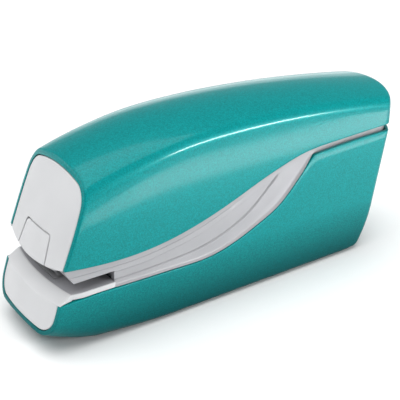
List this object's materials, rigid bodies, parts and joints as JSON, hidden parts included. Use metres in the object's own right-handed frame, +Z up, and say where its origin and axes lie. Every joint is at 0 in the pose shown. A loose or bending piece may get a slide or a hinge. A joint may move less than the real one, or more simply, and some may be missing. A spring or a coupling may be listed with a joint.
{
  "type": "electric stapler",
  "caption": "Battery electric stapler with a pearl teal cover and base, a grey swept side frame, a front paper slot and a pull-out staple magazine.",
  "frame": {"origin": "on the desk, under the middle of the object's bounding box", "axes": "+X across, to the right seen from the front of the nose looking back; the nose faces -Y and +Y runs to the rear; +Z up"},
  "size_m": [0.0532, 0.1945, 0.0876],
  "materials": {
    "pearl_teal": "gloss",
    "pale_grey": "satin",
    "light_grey": "satin",
    "dark_plastic": "satin",
    "steel": "satin",
    "zinc_plate": "satin",
    "staple_wire": "gloss",
    "nylon": "satin",
    "brass": "satin",
    "rubber": "matte",
    "cell_sleeve": "satin",
    "board_green": "satin"
  },
  "bodies": {
    "casing": {"anvil_plate": "steel", "arm_pivot_pin": "steel", "base_insert": "pale_grey", "battery_box": "dark_plastic", "battery_cell_1": "cell_sleeve", "battery_cell_2": "cell_sleeve", "battery_cell_3": "cell_sleeve", "battery_cell_4": "cell_sleeve", "bottom_shell": "pearl_teal", "circuit_board": "board_green", "contact_plate_front": "steel", "contact_plate_rear": "steel", "gear_1_shaft": "steel", "gear_2_shaft": "steel", "gearbox_plate_left": "zinc_plate", "gearbox_plate_mid": "zinc_plate", "gearbox_plate_right": "zinc_plate", "magazine_guide": "dark_plastic", "motor": "zinc_plate", "nose_plate": "pale_grey", "paper_stop": "light_grey", "paper_switch": "dark_plastic", "rear_frame": "light_grey", "return_spring": "steel", "rubber_foot_1": "rubber", "rubber_foot_2": "rubber", "rubber_foot_3": "rubber", "rubber_foot_4": "rubber", "sensor_pin": "steel", "side_frame_left": "light_grey", "side_frame_right": "light_grey", "spring_bracket": "steel", "top_cover": "pearl_teal"},
    "magazine": {"magazine_channel": "steel", "staple_rail": "steel", "staple_strip": "staple_wire", "pusher_rod": "steel", "magazine_rear": "dark_plastic", "magazine_front": "pale_grey", "pusher_spring": "steel"},
    "pusher": {"staple_pusher": "dark_plastic"},
    "driver": {"driver_blade": "steel"},
    "cam": {"cam_gear": "nylon", "cam_disc": "steel", "cam_shaft": "steel"},
    "second_gear": {"gear_2": "nylon"},
    "first_gear": {"gear_1": "nylon"},
    "rotor": {"motor_pinion": "brass", "motor_shaft": "steel"},
    "hammer": {"hammer_arm": "steel"},
    "roller": {"cam_roller": "nylon"},
    "sensor": {"sensor_lever": "dark_plastic"},
    "battery_lid": {"battery_door": "pearl_teal"}
  },
  "joints": [
    {"name": "magazine_slide", "type": "slide", "parent": "casing", "child": "magazine", "axis": [0, -1, 0], "range_m": [0, 0.055]},
    {"name": "pusher_slide", "type": "slide", "parent": "magazine", "child": "pusher", "axis": [0, 1, 0], "range_m": [0, 0.017], "stiffness_N_per_m": 30, "springref_m": -0.02, "deforming": ["pusher_spring"]},
    {"name": "driver_slide", "type": "slide", "parent": "magazine", "child": "driver", "axis": [0, 0, -1], "range_m": [0, 0.00701]},
    {"name": "cam_turn", "type": "hinge", "parent": "casing", "child": "cam", "pos_m": [0, -0.01, 0.062], "axis": [1, 0, 0], "range_deg": [0, 170]},
    {"name": "gear_2_turn", "type": "hinge", "parent": "casing", "child": "second_gear", "pos_m": [0, 0.01279, 0.05716], "axis": [1, 0, 0], "range_deg": [-612.5, 0]},
    {"name": "gear_1_turn", "type": "hinge", "parent": "casing", "child": "first_gear", "pos_m": [0, 0.03609, 0.05716], "axis": [1, 0, 0], "range_deg": [0, 2204]},
    {"name": "rotor_turn", "type": "hinge", "parent": "casing", "child": "rotor", "pos_m": [0, 0.05888, 0.05231], "axis": [1, 0, 0], "range_deg": [-7933, 0]},
    {"name": "hammer_turn", "type": "hinge", "parent": "casing", "child": "hammer", "pos_m": [0, 0.038, 0.043], "axis": [1, 0, 0], "range_deg": [0, 3.36], "deforming": ["return_spring"]},
    {"name": "roller_turn", "type": "hinge", "parent": "hammer", "child": "roller", "pos_m": [0, -0.01, 0.0512], "axis": [1, 0, 0], "continuous": true},
    {"name": "sensor_turn", "type": "hinge", "parent": "casing", "child": "sensor", "pos_m": [0, -0.0584, 0.045], "axis": [1, 0, 0], "range_deg": [0, 14], "stiffness_Nm_per_rad": 0.001, "springref_deg": -17.19},
    {"name": "battery_door_turn", "type": "hinge", "parent": "casing", "child": "battery_lid", "pos_m": [0, 0.0055, 0.0009], "axis": [-1, 0, 0], "range_deg": [0, 100]}
  ],
  "couplings": [
    {"joint": "gear_2_turn", "follows": "cam_turn", "ratio": -3.6},
    {"joint": "gear_1_turn", "follows": "cam_turn", "ratio": 12.96},
    {"joint": "rotor_turn", "follows": "cam_turn", "ratio": -46.656},
    {"joint": "hammer_turn", "follows": "cam_turn", "ratio": 0.019776},
    {"joint": "driver_slide", "follows": "cam_turn", "m_per_rad": 0.0023592}
  ]
}
